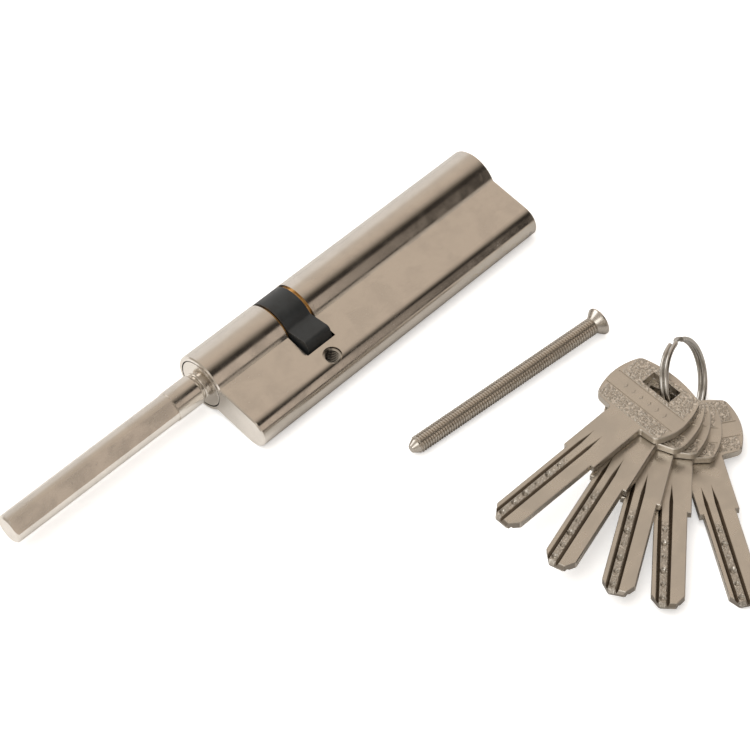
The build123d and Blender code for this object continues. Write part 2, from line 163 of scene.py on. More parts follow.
class StageSettings(bpy.types.PropertyGroup):
    """Floor, light and camera."""
    camera_at: bpy.props.FloatVectorProperty(name="Camera", description="Camera position",
                                             default=(-0.278742, -0.319209, 0.495693), size=3,
                                             subtype="TRANSLATION")
    camera_aim: bpy.props.FloatVectorProperty(name="Aim", description="Point the camera looks at",
                                              default=(0.008574, -0.007762, -0.005144), size=3,
                                              subtype="TRANSLATION")
    camera_roll: bpy.props.FloatProperty(name="Roll", description="Roll of the camera",
                                         default=radians(-3.18), subtype="ANGLE")
    lens: bpy.props.FloatProperty(name="Lens", default=117.26, min=10.0,
                                  description="Focal length in millimetres on a 36 mm frame")
    floor_size: size("Floor size", "Side of the square floor", 3000.0)
    lamp_power: bpy.props.FloatProperty(name="Lamp", default=9.0, min=0.0,
                                        description="Power of the overhead lamp in watts")
    world_level: bpy.props.FloatProperty(name="Surroundings", description="Brightness of the room",
                                         default=1.0, min=0.0)


# ---------------------------------------------------------------- node helpers

def fill(node, values):
    """Sets the unlinked sockets of a node by name."""
    for name, value in values.items():
        node.inputs[name.replace("_", " ").title()].default_value = value
    return node


def add(tree, kind, **values):
    """A new node with its unlinked sockets filled in."""
    return fill(tree.nodes.new(kind), values)


def join(tree, source, target):
    tree.links.new(source, target)


def calc(tree, operation, first, second=None, third=None):
    """A Math node on two or three values or sockets; gives its output socket."""
    made = tree.nodes.new("ShaderNodeMath")
    made.operation = operation
    for socket, value in zip(made.inputs, (first, second, third)):
        if value is None:
            continue
        if isinstance(value, (int, float)):
            socket.default_value = value
        else:
            join(tree, value, socket)
    return made.outputs[0]


def vector_calc(tree, operation, *values):
    """A Vector Math node on values or sockets; gives the node."""
    made = tree.nodes.new("ShaderNodeVectorMath")
    made.operation = operation
    for socket, value in zip(made.inputs, values):
        if isinstance(value, bpy.types.NodeSocket):
            join(tree, value, socket)
        else:
            socket.default_value = value
    return made


def step(tree, value, low, high):
    """Smooth step of a socket from 0 at low to 1 at high."""
    made = tree.nodes.new("ShaderNodeMapRange")
    made.interpolation_type = "SMOOTHSTEP"
    made.inputs["From Min"].default_value = low
    made.inputs["From Max"].default_value = high
    join(tree, value, made.inputs["Value"])
    return made.outputs["Result"]


def blend_colours(tree, factor, first, second):
    """A colour from first at 0 to second at 1; colours and factor are values or sockets."""
    made = tree.nodes.new("ShaderNodeMix")
    made.data_type = "RGBA"
    if isinstance(factor, (int, float)):
        made.inputs[0].default_value = factor
    else:
        join(tree, factor, made.inputs[0])
    for socket, value in ((made.inputs[6], first), (made.inputs[7], second)):
        if isinstance(value, (tuple, list)):
            socket.default_value = value
        else:
            join(tree, value, socket)
    return made.outputs[2]


def group(name, inputs, outputs):
    """An empty node group with named sockets; the caller fills it once."""
    tree = bpy.data.node_groups.new(name, "ShaderNodeTree")
    for label, kind, value in inputs:
        socket = tree.interface.new_socket(name=label, in_out="INPUT", socket_type=kind)
        if value is not None:
            socket.default_value = value
    for label, kind in outputs:
        tree.interface.new_socket(name=label, in_out="OUTPUT", socket_type=kind)
    return tree, tree.nodes.new("NodeGroupInput"), tree.nodes.new("NodeGroupOutput")


FLOAT = "NodeSocketFloat"
VECTOR = "NodeSocketVector"


def drawn_lines_group():
    """Fine lines left by drawing and polishing, long along X."""
    if "drawn_lines" in bpy.data.node_groups:
        return bpy.data.node_groups["drawn_lines"]
    tree, ins, outs = group("drawn_lines",
                            [("Along", FLOAT, 60.0), ("Across", FLOAT, 6000.0)],
                            [("Lines", FLOAT)])
    place = add(tree, "ShaderNodeTexCoord")
    stretch = tree.nodes.new("ShaderNodeCombineXYZ")
    join(tree, ins.outputs["Along"], stretch.inputs["X"])
    join(tree, ins.outputs["Across"], stretch.inputs["Y"])
    join(tree, ins.outputs["Across"], stretch.inputs["Z"])
    scaled = vector_calc(tree, "MULTIPLY", place.outputs["Object"], stretch.outputs["Vector"])
    noise = add(tree, "ShaderNodeTexNoise", scale=1.0, detail=3.0, roughness=0.6)
    join(tree, scaled.outputs["Vector"], noise.inputs["Vector"])
    join(tree, noise.outputs["Fac"], outs.inputs["Lines"])
    return tree


def handling_group():
    """Smudges, hairline scratches and tiny pits from handling."""
    if "handling" in bpy.data.node_groups:
        return bpy.data.node_groups["handling"]
    tree, ins, outs = group("handling",
                            [("Smudge Scale", FLOAT, 140.0), ("Pit Scale", FLOAT, 2600.0)],
                            [("Smudge", FLOAT), ("Scratch", FLOAT), ("Pit", FLOAT)])
    place = add(tree, "ShaderNodeTexCoord")
    smudge = add(tree, "ShaderNodeTexNoise", detail=4.0, roughness=0.55, distortion=0.4)
    join(tree, place.outputs["Object"], smudge.inputs["Vector"])
    join(tree, ins.outputs["Smudge Scale"], smudge.inputs["Scale"])
    join(tree, step(tree, smudge.outputs["Fac"], 0.38, 0.68), outs.inputs["Smudge"])
    swirl = add(tree, "ShaderNodeTexNoise", scale=90.0, detail=2.0)
    join(tree, place.outputs["Object"], swirl.inputs["Vector"])
    bent = vector_calc(tree, "MULTIPLY_ADD", swirl.outputs["Color"], (0.02, 0.02, 0.02),
                       place.outputs["Object"])
    turned = tree.nodes.new("ShaderNodeMapping")
    turned.inputs["Rotation"].default_value = (0.4, 0.7, 0.5)
    turned.inputs["Scale"].default_value = (90.0, 2400.0, 2400.0)
    join(tree, bent.outputs["Vector"], turned.inputs["Vector"])
    hair = add(tree, "ShaderNodeTexNoise", scale=1.0, detail=1.0)
    join(tree, turned.outputs["Vector"], hair.inputs["Vector"])
    join(tree, step(tree, hair.outputs["Fac"], 0.66, 0.74), outs.inputs["Scratch"])
    pits = tree.nodes.new("ShaderNodeTexVoronoi")
    join(tree, place.outputs["Object"], pits.inputs["Vector"])
    join(tree, ins.outputs["Pit Scale"], pits.inputs["Scale"])
    join(tree, step(tree, pits.outputs["Distance"], 0.28, 0.08), outs.inputs["Pit"])
    return tree


def edge_group():
    """Mask of the sharp outer edges, where plate and paint wear first."""
    if "edge_wear" in bpy.data.node_groups:
        return bpy.data.node_groups["edge_wear"]
    tree, ins, outs = group("edge_wear", [("Reach", FLOAT, 0.0002), ("Breakup", FLOAT, 900.0)],
                            [("Edge", FLOAT)])
    rounded = tree.nodes.new("ShaderNodeBevel")
    rounded.samples = 4
    join(tree, ins.outputs["Reach"], rounded.inputs["Radius"])
    shape = tree.nodes.new("ShaderNodeNewGeometry")
    agree = vector_calc(tree, "DOT_PRODUCT", rounded.outputs["Normal"], shape.outputs["Normal"])
    edge = step(tree, agree.outputs["Value"], 0.995, 0.90)
    place = add(tree, "ShaderNodeTexCoord")
    noise = add(tree, "ShaderNodeTexNoise", detail=3.0)
    join(tree, place.outputs["Object"], noise.inputs["Vector"])
    join(tree, ins.outputs["Breakup"], noise.inputs["Scale"])
    join(tree, calc(tree, "MULTIPLY", edge, step(tree, noise.outputs["Fac"], 0.35, 0.6)),
         outs.inputs["Edge"])
    return tree


def key_face_group():
    """Masks of the milled grooves, of the dimple row and of the grained patches of a key."""
    if "key_face" in bpy.data.node_groups:
        return bpy.data.node_groups["key_face"]
    sizes = bpy.context.scene.lock_keys
    tree, ins, outs = group("key_face", [("Origin", VECTOR, None), ("Along", VECTOR, None),
                                         ("Across", VECTOR, None), ("Normal", VECTOR, None)],
                            [("Groove", FLOAT), ("Row", FLOAT), ("Grain", FLOAT)])
    place = add(tree, "ShaderNodeTexCoord")
    offset = vector_calc(tree, "SUBTRACT", place.outputs["Object"], ins.outputs["Origin"])
    x, y, z = (vector_calc(tree, "DOT_PRODUCT", offset.outputs["Vector"],
                           ins.outputs[label]).outputs["Value"]
               for label in ("Along", "Across", "Normal"))
    half = sizes.thickness / 2
    height = calc(tree, "ABSOLUTE", z)
    from_middle = calc(tree, "ABSOLUTE", y)
    same_side = calc(tree, "MULTIPLY", y, calc(tree, "SIGN", z))
    from_row = calc(tree, "ABSOLUTE", calc(tree, "ADD", same_side, sizes.row_y))
    blade_edge = sizes.blade_w / 2
    on_blade = calc(tree, "MULTIPLY",
                    step(tree, from_middle, blade_edge - 0.1 * MM, blade_edge - 0.25 * MM),
                    step(tree, x, -10.0 * MM, -9.0 * MM))
    deep = step(tree, height, half - 0.02 * MM, half - 0.30 * MM)
    beside = step(tree, from_row, 0.70 * MM, 0.90 * MM)
    groove = calc(tree, "MULTIPLY", calc(tree, "MULTIPLY", deep, on_blade), beside)
    join(tree, groove, outs.inputs["Groove"])
    row = calc(tree, "MULTIPLY", step(tree, from_row, 1.0 * MM, 0.75 * MM),
               step(tree, x, 2.0 * MM, 4.0 * MM))
    join(tree, row, outs.inputs["Row"])
    start = -sizes.neck_len
    near_line = start - sizes.line_near
    far_line = start - sizes.line_far
    back = start - sizes.head_len
    near = calc(tree, "MULTIPLY", step(tree, x, start - 0.3 * MM, start - 0.8 * MM),
                step(tree, x, near_line, near_line + 0.4 * MM))
    far = calc(tree, "MULTIPLY", step(tree, x, far_line - 0.3 * MM, far_line - 0.7 * MM),
               step(tree, x, back - 0.6 * MM, back + 0.2 * MM))
    flat = step(tree, height, half - 0.06 * MM, half - 0.01 * MM)
    head_edge = sizes.head_w / 2
    inside = step(tree, from_middle, head_edge + 0.6 * MM, head_edge - 0.2 * MM)
    grain = calc(tree, "MULTIPLY", calc(tree, "MAXIMUM", near, far),
                 calc(tree, "MULTIPLY", flat, inside))
    join(tree, grain, outs.inputs["Grain"])
    return tree


# ---------------------------------------------------------------- materials

def use_group(tree, made_group, **values):
    placed = tree.nodes.new("ShaderNodeGroup")
    placed.node_tree = made_group
    return fill(placed, values)


def new_material(name):
    material = bpy.data.materials.new(name)
    material.use_nodes = True
    tree = material.node_tree
    tree.nodes.clear()
    shader = tree.nodes.new("ShaderNodeBsdfPrincipled")
    output = tree.nodes.new("ShaderNodeOutputMaterial")
    join(tree, shader.outputs["BSDF"], output.inputs["Surface"])
    return material, tree, shader


def relief(tree, shader, height, distance, strength=1.0):
    """Bumps a surface by a height socket, over the relief that it has already."""
    made = add(tree, "ShaderNodeBump", strength=strength, distance=distance)
    join(tree, height, made.inputs["Height"])
    for under in [link.from_socket for link in shader.inputs["Normal"].links]:
        join(tree, under, made.inputs["Normal"])
    join(tree, made.outputs["Normal"], shader.inputs["Normal"])


def face_gap(tree):
    """Mask of the open line round the plug and the rotor at their faces, which is darkened with painted shade."""
    low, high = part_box("cylinder_body")
    plug_low, plug_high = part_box("key_plug")
    centre = (plug_low + plug_high) / 2
    radius = (plug_high.z - plug_low.z) / 2
    place = add(tree, "ShaderNodeTexCoord")
    split = tree.nodes.new("ShaderNodeSeparateXYZ")
    join(tree, place.outputs["Object"], split.inputs["Vector"])
    y = calc(tree, "SUBTRACT", split.outputs["Y"], centre.y)
    z = calc(tree, "SUBTRACT", split.outputs["Z"], centre.z)
    squares = calc(tree, "ADD", calc(tree, "MULTIPLY", y, y), calc(tree, "MULTIPLY", z, z))
    from_axis = calc(tree, "SQRT", squares)
    ring = calc(tree, "MULTIPLY", step(tree, from_axis, radius - 0.06 * MM, radius - 0.01 * MM),
                step(tree, from_axis, radius + 0.40 * MM, radius + 0.35 * MM))
    x = split.outputs["X"]
    inside = calc(tree, "MULTIPLY", step(tree, x, low.x + 0.03 * MM, low.x + 0.08 * MM),
                  step(tree, x, high.x - 0.03 * MM, high.x - 0.08 * MM))
    return calc(tree, "MULTIPLY", ring, inside)


def ripples(tree):
    """Shallow waves that polishing leaves across the key end of the body."""
    place = add(tree, "ShaderNodeTexCoord")
    split = tree.nodes.new("ShaderNodeSeparateXYZ")
    join(tree, place.outputs["Object"], split.inputs["Vector"])
    stretch = tree.nodes.new("ShaderNodeMapping")
    stretch.inputs["Scale"].default_value = (1100.0, 260.0, 260.0)
    join(tree, place.outputs["Object"], stretch.inputs["Vector"])
    waves = add(tree, "ShaderNodeTexNoise", scale=1.0, detail=2.0)
    join(tree, stretch.outputs["Vector"], waves.inputs["Vector"])
    key_end = step(tree, split.outputs["X"], 22.0 * MM, 60.0 * MM)
    return calc(tree, "MULTIPLY", waves.outputs["Fac"], key_end)


# colour of the painted shade in the open line round the plug
GAP_SHADE = (0.03, 0.026, 0.022, 1.0)
# grime and painted shade in the milled grooves of the keys
GROOVE_GRIME_AND_SHADE = (0.20, 0.17, 0.14, 1.0)
# colour of the painted highlights on the keys' grains and dimples
GLINT = (0.98, 0.95, 0.90, 1.0)
RUBBED_BLACK = (0.12, 0.12, 0.115, 1.0)
KEY_SATIN = {"along": 900.0, "across": 7000.0, "line_depth": 0.12, "mark_depth": 0.10,
             "rough_spread": 0.10}


def shade(colour, factor=1.0):
    """A colour made darker or lighter, with its alpha."""
    return tuple(c * factor for c in colour) + (1.0,)


def metal(name, colour, rough, along=60.0, across=6000.0, line_depth=0.1, mark_depth=0.05,
          rough_spread=0.08, smudge_scale=140.0, worn=None, edge_reach=0.0002, ripple=0.0,
          gap=False):
    """Polished or satin metal with drawn lines, smudges, hairlines and pits."""
    material, tree, shader = new_material(name)
    shader.inputs["Metallic"].default_value = 1.0
    lines = use_group(tree, drawn_lines_group(), along=along, across=across).outputs["Lines"]
    marks = use_group(tree, handling_group(), smudge_scale=smudge_scale)
    base = blend_colours(tree, calc(tree, "MULTIPLY", marks.outputs["Smudge"], 0.6), shade(colour),
                         shade(colour, 0.90))
    base = blend_colours(tree, calc(tree, "MULTIPLY", marks.outputs["Pit"], 0.25), base,
                         shade(colour, 0.55))
    if worn:
        edge = use_group(tree, edge_group(), reach=edge_reach).outputs["Edge"]
        base = blend_colours(tree, edge, base, shade(worn))
    # painted shade: the open line round the plug is darkened
    if gap:
        base = blend_colours(tree, calc(tree, "MULTIPLY", face_gap(tree), 0.9), base, GAP_SHADE)
    join(tree, base, shader.inputs["Base Color"])
    polish = calc(tree, "MULTIPLY_ADD", marks.outputs["Smudge"], rough_spread, rough)
    polish = calc(tree, "MULTIPLY_ADD", lines, rough_spread * 0.5, polish)
    polish = calc(tree, "MULTIPLY_ADD", marks.outputs["Scratch"], 0.06, polish)
    join(tree, polish, shader.inputs["Roughness"])
    height = calc(tree, "MULTIPLY_ADD", marks.outputs["Scratch"], -mark_depth,
                  calc(tree, "MULTIPLY", lines, line_depth))
    height = calc(tree, "MULTIPLY_ADD", marks.outputs["Pit"], -mark_depth, height)
    if ripple:
        height = calc(tree, "MULTIPLY_ADD", ripples(tree), ripple, height)
    relief(tree, shader, height, 0.00001)
    return material


def key_metal(name, colour, rough, place):
    """Satin nickel of one key: grooves darkened with grime and painted shade, a dimple row with painted shade and
    painted glints, and grained patches with painted dark specks and painted glints.
    """
    material = metal(name, colour, rough, **KEY_SATIN)
    tree = material.node_tree
    shader = next(n for n in tree.nodes if n.bl_idname == "ShaderNodeBsdfPrincipled")
    masks = use_group(tree, key_face_group())
    masks.inputs["Origin"].default_value = place.translation
    for column, label in enumerate(("Along", "Across", "Normal")):
        masks.inputs[label].default_value = place.to_3x3().col[column]
    groove, row, grain = (masks.outputs[label] for label in ("Groove", "Row", "Grain"))
    where = add(tree, "ShaderNodeTexCoord")
    cells = tree.nodes.new("ShaderNodeTexVoronoi")
    cells.inputs["Scale"].default_value = 2300.0
    join(tree, where.outputs["Object"], cells.inputs["Vector"])
    speck = add(tree, "ShaderNodeTexNoise", scale=1500.0, detail=2.0)
    join(tree, where.outputs["Object"], speck.inputs["Vector"])
    spots = step(tree, speck.outputs["Fac"], 0.46, 0.60)
    base = shader.inputs["Base Color"].links[0].from_socket
    # painted shade: the dimple row is darker
    base = blend_colours(tree, calc(tree, "MULTIPLY", row, 0.5), base, shade(colour, 0.62))
    # grime and painted shade: the milled grooves are darkened
    base = blend_colours(tree, calc(tree, "MULTIPLY", groove, 0.72), base, GROOVE_GRIME_AND_SHADE)
    # painted shade: dark specks on the grained patches
    dark = calc(tree, "MULTIPLY", calc(tree, "MULTIPLY", grain, spots), 0.5)
    base = blend_colours(tree, dark, base, shade(colour, 0.55))
    # painted highlights: glints on the grained patches and the dimple row
    bright = calc(tree, "MAXIMUM", grain, calc(tree, "MULTIPLY", row, 0.9))
    sparks = step(tree, speck.outputs["Fac"], 0.42, 0.34)
    glint = calc(tree, "MULTIPLY", calc(tree, "MULTIPLY", bright, sparks), 0.9)
    base = blend_colours(tree, glint, base, GLINT)
    join(tree, base, shader.inputs["Base Color"])
    polish = shader.inputs["Roughness"].links[0].from_socket
    polish = calc(tree, "MULTIPLY_ADD", calc(tree, "MAXIMUM", grain, groove), -0.10, polish)
    join(tree, polish, shader.inputs["Roughness"])
    dents = calc(tree, "MULTIPLY", calc(tree, "MAXIMUM", grain, calc(tree, "MULTIPLY", row, 0.7)),
                 calc(tree, "MULTIPLY_ADD", cells.outputs["Distance"], 0.6, spots))
    relief(tree, shader, dents, 0.00009)
    return material


def cam_black_material(colour):
    """Satin black finish with a fine grain, a little greyer where it rubs."""
    material, tree, shader = new_material("cam_satin_black")
    marks = use_group(tree, handling_group(), smudge_scale=260.0, pit_scale=5200.0)
    edge = use_group(tree, edge_group(), reach=0.00025, breakup=1500.0).outputs["Edge"]
    base = blend_colours(tree, calc(tree, "MULTIPLY", marks.outputs["Smudge"], 0.7), shade(colour),
                         shade(colour, 1.5))
    base = blend_colours(tree, calc(tree, "MULTIPLY", edge, 0.5), base, RUBBED_BLACK)
    join(tree, base, shader.inputs["Base Color"])
    polish = calc(tree, "MULTIPLY_ADD", marks.outputs["Smudge"], 0.12, 0.36)
    join(tree, polish, shader.inputs["Roughness"])
    place = add(tree, "ShaderNodeTexCoord")
    grain = add(tree, "ShaderNodeTexNoise", scale=4200.0, detail=3.0)
    join(tree, place.outputs["Object"], grain.inputs["Vector"])
    relief(tree, shader, grain.outputs["Fac"], 0.00003, 0.5)
    return material


def lock_materials(finish):
    """One material for each slot of the set."""
    nickel = tuple(finish.nickel)
    key_nickel = tuple(finish.key_nickel)
    brass = tuple(finish.brass)
    steel = tuple(finish.steel)
    polish = finish.body_rough
    return {
        "nickel_body": metal("body_nickel", nickel, polish, line_depth=0.22, mark_depth=0.10,
                             ripple=0.7, gap=True),
        "nickel_plug": metal("plug_nickel", nickel, polish + 0.03, line_depth=0.15, gap=True),
        "nickel_shaft": metal("shaft_nickel", nickel, polish + 0.04, line_depth=0.35,
                              worn=(0.97, 0.94, 0.90), edge_reach=0.00025),
        "nickel_screw": metal("screw_nickel", tuple(c * 0.92 for c in nickel), 0.2, line_depth=0.1),
        "nickel_key": metal("key_satin_nickel", key_nickel, finish.key_rough, **KEY_SATIN),
        # painted shade: the thread inside the fixing hole is a darker copy of the body nickel
        "bore_thread": metal("bore_thread", tuple(c * 0.85 for c in nickel), 0.08, line_depth=0.0),
        "ring_steel": metal("split_ring_steel", steel, 0.14, along=1500.0, across=1500.0),
        "black_cam": cam_black_material(tuple(finish.cam_black)),
        "bronze_ring": metal("bronze_ring_metal", tuple(finish.bronze), 0.22),
        "brass": metal("turned_brass", brass, 0.2, along=3000.0, across=3000.0),
        "steel": metal("hardened_steel", tuple(c * 0.85 for c in steel), 0.25, along=2500.0),
        "plated_plug": metal("plated_chamber_plug", nickel, polish + 0.03, worn=brass,
                             edge_reach=0.0004),
        "spring_steel": metal("spring_wire", tuple(c * 0.8 for c in steel), 0.22, along=2500.0),
    }


# ---------------------------------------------------------------- mesh helpers

def to_object(name, tool):
    """Turns a finished bmesh into an object of the scene."""
    mesh = bpy.data.meshes.new(name)
    tool.to_mesh(mesh)
    tool.free()
    made = bpy.data.objects.new(name, mesh)
    bpy.context.scene.collection.objects.link(made)
    return made


def new_piece(name, tool, material, body, replaced=None):
    """Turns a finished bmesh into a piece that rides on a body."""
    bmesh.ops.recalc_face_normals(tool, faces=tool.faces)
    piece = to_object(name, tool)
    piece.data.materials.append(material)
    piece.data.shade_smooth()
    piece.data.set_sharp_from_angle(angle=radians(38))
    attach(piece, body)
    if replaced:
        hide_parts(replaced)
    return piece


def helix_thread(tool, root_r, crest_r, pitch, start, end, segments=36, crest_flat=0.15):
    """A thread along X from start to end, open at its ends; a bore's ridges if crest_r < root_r."""
    turns = int((end - start) / pitch) + 3
    x0 = start - pitch * 1.5
    profile = ((0.0, root_r), (0.22, root_r), (0.5 - crest_flat / 2, crest_r),
               (0.5 + crest_flat / 2, crest_r), (0.78, root_r), (1.0, root_r))
    spots = [tool.verts.new((x0 + share_of * pitch, 0.0, r)) for share_of, r in profile]
    edges = [tool.edges.new(pair) for pair in zip(spots, spots[1:])]
    bmesh.ops.spin(tool, geom=spots + edges, cent=(0, 0, 0), axis=(1, 0, 0),
                   dvec=(pitch / segments, 0, 0), angle=tau * turns, steps=segments * turns,
                   use_merge=False, use_duplicate=False)
    bmesh.ops.remove_doubles(tool, verts=tool.verts, dist=pitch * 0.02)
    for cut, keep in ((start, -1), (end, 1)):
        everything = tool.verts[:] + tool.edges[:] + tool.faces[:]
        bmesh.ops.bisect_plane(tool, geom=everything, plane_co=(cut, 0, 0), plane_no=(keep, 0, 0),
                               dist=pitch * 0.002, clear_outer=True)


def close_ends(tool):
    """Caps every open loop with a face."""
    rim = [e for e in tool.edges if e.is_boundary]
    bmesh.ops.holes_fill(tool, edges=rim, sides=0)


def carve(piece, cutter):
    """Cuts one closed mesh out of another and drops the cutter."""
    cut = piece.modifiers.new("cut", "BOOLEAN")
    cut.operation = "DIFFERENCE"
    cut.solver = "EXACT"
    cut.object = cutter
    settled = piece.evaluated_get(bpy.context.evaluated_depsgraph_get())
    mesh = bpy.data.meshes.new_from_object(settled)
    piece.modifiers.clear()
    piece.data = mesh
    bpy.data.objects.remove(cutter)


# ---------------------------------------------------------------- fixing screw

def screw_frame(sizes):
    """Screw along X with its point at the origin, to where it lies on the table."""
    run = sizes.length - sizes.rim_h - sizes.point_len
    rise = asin((sizes.rest_head_r - sizes.rest_r) / run)
    height = SHELF + sizes.rest_r / cos(rise) - sizes.point_len * sin(rise) + sizes.rest_gap
    place = Matrix.Translation((sizes.tip[0], sizes.tip[1], height))
    return place @ Matrix.Rotation(sizes.yaw, 4, "Z") @ Matrix.Rotation(-rise, 4, "Y")


def screw_shank(sizes):
    """Full thread from the point to the head, worn down to a cone at the point."""
    tool = bmesh.new()
    top = sizes.length - sizes.head_h + 0.25 * MM
    helix_thread(tool, sizes.root_r, sizes.thread_r, sizes.pitch, 0.35 * MM, top)
    slope = (sizes.thread_r - sizes.nose_r) / sizes.point_len
    for vert in tool.verts:
        r = (vert.co.y ** 2 + vert.co.z ** 2) ** 0.5
        limit = sizes.nose_r + slope * vert.co.x
        if r > limit:
            vert.co.y *= limit / r
            vert.co.z *= limit / r
    close_ends(tool)
    return tool


def turned_bar(tool, outline, segments=64):
    """Spins an outline of (x, r) points about X; both ends of the outline lie on the axis."""
    spots = [tool.verts.new((x, 0.0, r)) for x, r in outline]
    edges = [tool.edges.new(pair) for pair in zip(spots, spots[1:])]
    bmesh.ops.spin(tool, geom=spots + edges, cent=(0, 0, 0), axis=(1, 0, 0), angle=tau,
                   steps=segments, use_merge=True, use_duplicate=False)
    bmesh.ops.remove_doubles(tool, verts=tool.verts, dist=1e-7)


def screw_head(sizes):
    """Countersunk head with its rim slightly rounded."""
    tool = bmesh.new()
    full = sizes.length
    rim = sizes.rim_h
    cone_x = full - sizes.head_h
    soft = 0.1 * MM
    outline = ((cone_x, 0.0), (cone_x, sizes.root_r + 0.1 * MM),
               (full - rim, sizes.head_r - soft * 0.3), (full - rim + soft, sizes.head_r),
               (full - soft, sizes.head_r), (full - soft * 0.3, sizes.head_r - soft * 0.3),
               (full, sizes.head_r - soft), (full, 0.0))
    turned_bar(tool, outline)
    return tool


def recess_bar(sizes, turn, place):
    """One tapered bar of the cross recess, as a cutter."""
    tool = bmesh.new()
    bmesh.ops.create_cube(tool, size=1.0)
    bmesh.ops.scale(tool, verts=tool.verts,
                    vec=(sizes.cross_depth * 2, sizes.cross_len, sizes.cross_w))
    inner = [v for v in tool.verts if v.co.x < 0]
    bmesh.ops.scale(tool, verts=inner, vec=(1.0, 0.42, 0.62))
    bmesh.ops.rotate(tool, verts=tool.verts, cent=(0, 0, 0), matrix=Matrix.Rotation(turn, 3, "X"))
    bmesh.ops.translate(tool, verts=tool.verts, vec=(sizes.length, 0, 0))
    bmesh.ops.transform(tool, matrix=place, verts=tool.verts)
    bmesh.ops.recalc_face_normals(tool, faces=tool.faces)
    return to_object("recess_bar", tool)


class LOCKSET_OT_fixing_screw(bpy.types.Operator):
    """Model the threaded fixing screw in place of its plain shank"""
    bl_idname = "lockset.fixing_screw"
    bl_label = "Fixing Screw"

    def execute(self, context):
        sizes = context.scene.lock_screw
        material = bpy.data.materials["screw_nickel"]
        place = screw_frame(sizes)
        shank_tool = screw_shank(sizes)
        bmesh.ops.transform(shank_tool, matrix=place, verts=shank_tool.verts)
        new_piece("fixing_screw_thread", shank_tool, material, "fixing_screw",
                  "fixing_screw")
        head_tool = screw_head(sizes)
        bmesh.ops.transform(head_tool, matrix=place, verts=head_tool.verts)
        head = new_piece("fixing_screw_head", head_tool, material, "fixing_screw",
                         "fixing_screw")
        for turn in (sizes.cross_turn, sizes.cross_turn + pi / 2):
            carve(head, recess_bar(sizes, turn, place))
        return {"FINISHED"}


class LOCKSET_OT_hole_thread(bpy.types.Operator):
    """Model the thread inside the body's fixing hole"""
    bl_idname = "lockset.hole_thread"
    bl_label = "Fixing Hole Thread"

    def execute(self, context):
        sizes = context.scene.lock_screw
        mount = next(m for m in frame["record"]["mounts"] if m["name"] == "fixing_hole")
        axis = Vector(mount["axis"]).normalized()
        wall_r = mount["dims"]["r_mm"] * MM
        half = mount["dims"]["length_mm"] * MM / 2
        tool = bmesh.new()
        helix_thread(tool, wall_r + sizes.shell, wall_r - sizes.ridge, sizes.pitch, -half, half)
        bmesh.ops.recalc_face_normals(tool, faces=tool.faces)
        bmesh.ops.solidify(tool, geom=tool.faces[:], thickness=sizes.shell)
        turn = Vector((1, 0, 0)).rotation_difference(axis).to_matrix().to_4x4()
        bmesh.ops.transform(tool, matrix=turn, verts=tool.verts)
        new_piece("fixing_hole_thread", tool, bpy.data.materials["bore_thread"], "lock_body")
        return {"FINISHED"}


# ---------------------------------------------------------------- split ring

def ring_frame(sizes):
    """Ring axis along Z to where the ring leans in the keys."""
    along = Vector((cos(sizes.yaw), sin(sizes.yaw), 0.0))
    back = Vector((-sin(sizes.yaw), cos(sizes.yaw), 0.0))
    up = back * sin(sizes.lean) + Vector((0, 0, 1)) * cos(sizes.lean)
    axis = along.cross(up)
    low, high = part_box("key_ring")
    middle = (low + high) / 2
    turn = Matrix((along, up, axis)).transposed().to_4x4()
    return Matrix.Translation(middle) @ turn


RING_GAP = radians(10.5)      # from the crossing's middle to each end of the wire
RING_CROSS = radians(9.5)     # half the turn over which the wire crosses
RING_STEPS = 220


def split_ring_wire(sizes):
    """Two turns of wire side by side, crossing over once, with both ends lying flat."""
    tool = bmesh.new()
    made = bmesh.ops.create_circle(tool, segments=20, radius=sizes.wire_r)
    bmesh.ops.rotate(tool, verts=made["verts"], cent=(0, 0, 0),
                     matrix=Matrix.Rotation(pi / 2, 3, "X"))
    bmesh.ops.translate(tool, verts=made["verts"], vec=(sizes.radius, 0, -sizes.wire_r))
    sweep = 2 * tau - 2 * RING_GAP
    section = made["verts"] + list({e for v in made["verts"] for e in v.link_edges})
    bmesh.ops.rotate(tool, verts=made["verts"], cent=(0, 0, 0),
                     matrix=Matrix.Rotation(RING_GAP, 3, "Z"))

    def height(turn):
        """Axial place of the wire at this turn, from one side to the other at the crossing."""
        t = min(max((turn - tau + RING_CROSS) / (2 * RING_CROSS), 0.0), 1.0)
        return -sizes.wire_r + 2 * sizes.wire_r * t * t * (3 - 2 * t)

    turn = RING_GAP
    for number in range(RING_STEPS):
        ahead = RING_GAP + sweep * (number + 1) / RING_STEPS
        spun = bmesh.ops.spin(tool, geom=section, cent=(0, 0, 0), axis=(0, 0, 1),
                              dvec=(0, 0, height(ahead) - height(turn)), angle=ahead - turn,
                              steps=1, use_merge=False, use_duplicate=False)
        section = [g for g in spun["geom_last"] if not isinstance(g, bmesh.types.BMFace)]
        turn = ahead
    close_ends(tool)
    bmesh.ops.rotate(tool, verts=tool.verts, cent=(0, 0, 0),
                     matrix=Matrix.Rotation(sizes.joint_turn, 3, "Z"))
    return tool


class LOCKSET_OT_split_ring(bpy.types.Operator):
    """Wind the split ring from one wire"""
    bl_idname = "lockset.split_ring"
    bl_label = "Split Ring"

    def execute(self, context):
        sizes = context.scene.lock_ring
        tool = split_ring_wire(sizes)
        bmesh.ops.transform(tool, matrix=ring_frame(sizes), verts=tool.verts)
        new_piece("split_ring", tool, bpy.data.materials["split_ring_steel"], "key_ring",
                  "key_ring")
        return {"FINISHED"}


# ---------------------------------------------------------------- keys

